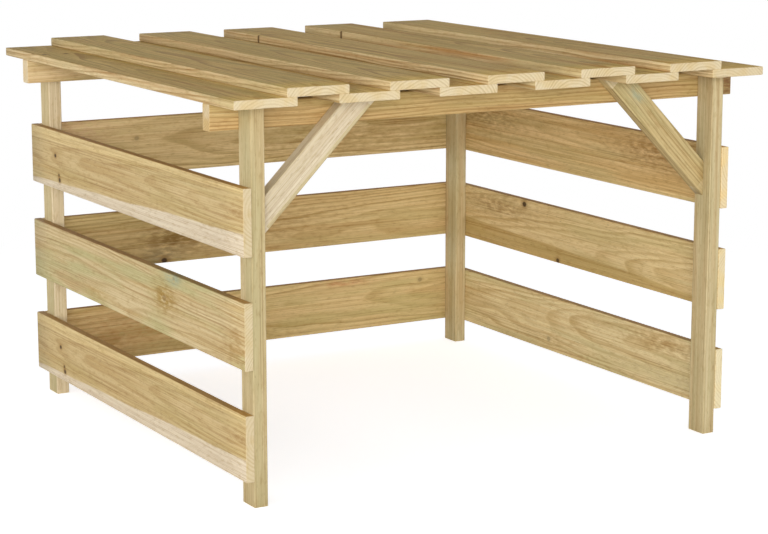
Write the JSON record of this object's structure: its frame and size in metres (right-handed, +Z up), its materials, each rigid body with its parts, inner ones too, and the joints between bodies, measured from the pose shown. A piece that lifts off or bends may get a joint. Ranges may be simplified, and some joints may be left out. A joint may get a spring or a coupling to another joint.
{
  "type": "robot mower shelter",
  "caption": "Low open-fronted shelter of planed pine boards: a flat roof of lapped boards on posts and beams, boarded sides and back with open gaps, and braces beside the doorway.",
  "frame": {"origin": "on the ground, under the middle of the roof", "axes": "+X to the right seen from the open front, +Y from the open front towards the boarded back, +Z up"},
  "size_m": [0.84, 0.806, 0.556],
  "materials": {
    "post_wood": "planed, pressure-impregnated pine, matt",
    "wall_wood": "planed, pressure-impregnated pine, matt",
    "beam_wood": "planed, pressure-impregnated pine, matt",
    "roof_wood": "planed, pressure-impregnated pine, matt"
  },
  "bodies": {
    "root": {"post_front_left": "post_wood", "post_front_right": "post_wood", "post_rear_left": "post_wood", "post_rear_right": "post_wood", "left_board_low": "wall_wood", "left_board_mid": "wall_wood", "left_board_top": "wall_wood", "right_board_low": "wall_wood", "right_board_mid": "wall_wood", "right_board_top": "wall_wood", "rear_board_low": "wall_wood", "rear_board_mid": "wall_wood", "rear_board_top": "wall_wood", "front_beam": "beam_wood", "rear_beam": "beam_wood", "brace_left": "beam_wood", "brace_right": "beam_wood", "roof_lower_1": "roof_wood", "roof_lower_2": "roof_wood", "roof_lower_3": "roof_wood", "roof_lower_4": "roof_wood", "roof_lower_5": "roof_wood", "roof_lower_6": "roof_wood", "roof_upper_1": "roof_wood", "roof_upper_2": "roof_wood", "roof_upper_3": "roof_wood", "roof_upper_4": "roof_wood", "roof_upper_5": "roof_wood"}
  },
  "joints": []
}
